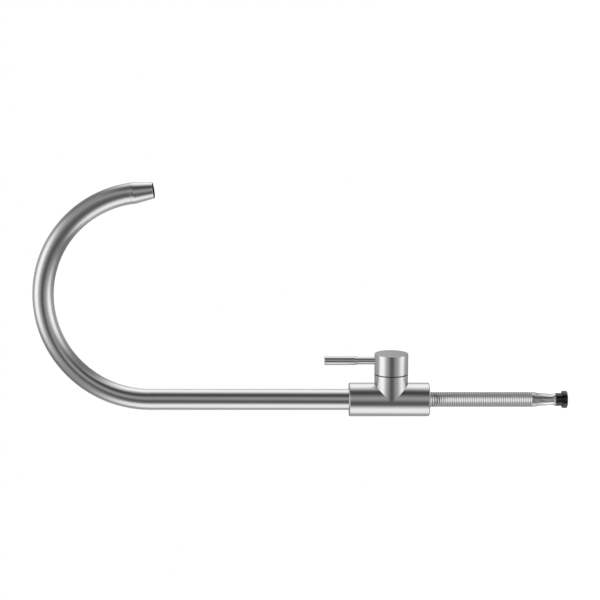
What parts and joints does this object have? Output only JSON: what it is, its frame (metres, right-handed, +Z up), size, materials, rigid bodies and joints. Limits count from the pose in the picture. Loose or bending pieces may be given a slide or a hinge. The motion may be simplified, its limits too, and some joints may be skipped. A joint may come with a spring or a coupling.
{
  "type": "drinking water faucet",
  "caption": "Gooseneck drinking-water faucet with a swivel spout, a quarter-turn lever valve on a side boss, a threaded deck shank and a push-fit inlet.",
  "frame": {"origin": "on the body's and the spout's common axis, in the deck plane at the body's underside", "axes": "+Z up along the body and the spout, +X to the handle boss and the outlet, XZ the plane of symmetry"},
  "size_m": [0.1844, 0.0264, 0.4181],
  "materials": {
    "brushed_steel": "brushed along its length",
    "shank_steel": "machined",
    "spring_steel": "plain",
    "brass": "turned",
    "ceramic": "lapped",
    "rubber": "matte",
    "fibre": "pressed fibre",
    "black_acetal": "semi-gloss",
    "white_acetal": "satin"
  },
  "bodies": {
    "body": {"faucet_body": "brushed_steel", "base_seal": "rubber", "threaded_shank": "shank_steel", "shank_washer": "fibre", "swivel_bush": "white_acetal", "spout_snap_ring": "spring_steel", "valve_housing": "brass", "housing_seal": "rubber", "slip_ring": "black_acetal", "seat_seal": "rubber", "fixed_disc": "ceramic", "inlet_socket": "black_acetal", "inlet_seal": "rubber", "grip_ring": "spring_steel"},
    "spout": {"spout_tube": "brushed_steel", "spout_nozzle": "brushed_steel", "flow_straightener": "black_acetal", "swivel_stem": "brass", "upper_swivel_seal": "rubber", "lower_swivel_seal": "rubber"},
    "handle": {"handle_cap": "brushed_steel", "lever_rod": "brushed_steel", "handle_screw": "spring_steel", "valve_spindle": "brass", "moving_disc": "ceramic", "spindle_seals": "rubber", "spindle_clip": "spring_steel"},
    "collet": {"inlet_collet": "black_acetal"}
  },
  "joints": [
    {"name": "spout_swivel", "type": "hinge", "parent": "body", "child": "spout", "pos_m": [0, 0, 0.0632], "axis": [0, 0, 1], "continuous": true},
    {"name": "handle_turn", "type": "hinge", "parent": "body", "child": "handle", "pos_m": [0.02065, 0, 0.03], "axis": [1, 0, 0], "range_deg": [0, 90]},
    {"name": "collet_release", "type": "slide", "parent": "body", "child": "collet", "axis": [0, 0, 1], "range_m": [0, 0.0015]}
  ]
}
